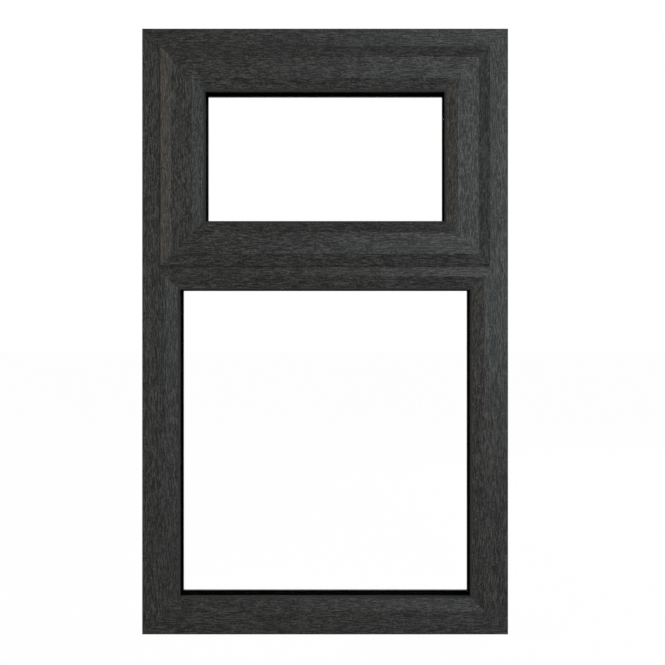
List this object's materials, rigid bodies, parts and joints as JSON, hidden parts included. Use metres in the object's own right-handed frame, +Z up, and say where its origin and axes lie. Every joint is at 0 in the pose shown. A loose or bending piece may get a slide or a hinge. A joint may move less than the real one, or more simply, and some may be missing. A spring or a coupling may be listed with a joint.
{
  "type": "triple glazed window",
  "caption": "Dark grey plastic casement window with a top-hung vent over a fixed light, bevelled frame and sash, triple glazed sealed units",
  "frame": {"origin": "middle of the sill's underside, half way through the frame's depth", "axes": "+X to the right seen from outside, +Y from outside to inside, +Z up"},
  "size_m": [0.61, 0.107, 1.01],
  "materials": {
    "foiled_profile": "dark grey embossed wood-grain foil",
    "clear_glass": "clear float glass",
    "spacer_bar": "black warm-edge spacer",
    "black_rubber": "black glazing rubber",
    "packer_plastic": "moulded plastic packer",
    "hardware_steel": "stainless and zinc-plated steel",
    "handle_black": "black powder coat"
  },
  "bodies": {
    "root": {"frame_head": "foiled_profile", "frame_sill": "foiled_profile", "frame_left_jamb": "foiled_profile", "frame_right_jamb": "foiled_profile", "transom": "foiled_profile", "sash_top_rail": "foiled_profile", "sash_bottom_rail": "foiled_profile", "sash_left_stile": "foiled_profile", "sash_right_stile": "foiled_profile", "lower_top_bead": "foiled_profile", "lower_bottom_bead": "foiled_profile", "lower_left_bead": "foiled_profile", "lower_right_bead": "foiled_profile", "lower_outer_pane": "clear_glass", "lower_middle_pane": "clear_glass", "lower_inner_pane": "clear_glass", "lower_outer_spacer": "spacer_bar", "lower_outer_gasket": "black_rubber", "lower_inner_spacer": "spacer_bar", "lower_inner_gasket": "black_rubber", "lower_packers": "packer_plastic", "vent_top_bead": "foiled_profile", "vent_bottom_bead": "foiled_profile", "vent_left_bead": "foiled_profile", "vent_right_bead": "foiled_profile", "vent_outer_pane": "clear_glass", "vent_middle_pane": "clear_glass", "vent_inner_pane": "clear_glass", "vent_outer_spacer": "spacer_bar", "vent_outer_gasket": "black_rubber", "vent_inner_spacer": "spacer_bar", "vent_inner_gasket": "black_rubber", "vent_packers": "packer_plastic", "lip_seal": "black_rubber", "nib_seal": "black_rubber", "left_friction_stay": "hardware_steel", "right_friction_stay": "hardware_steel", "locking_bar": "hardware_steel", "lock_keeps": "hardware_steel", "handle_base": "handle_black", "handle_lever": "handle_black"}
  },
  "joints": []
}
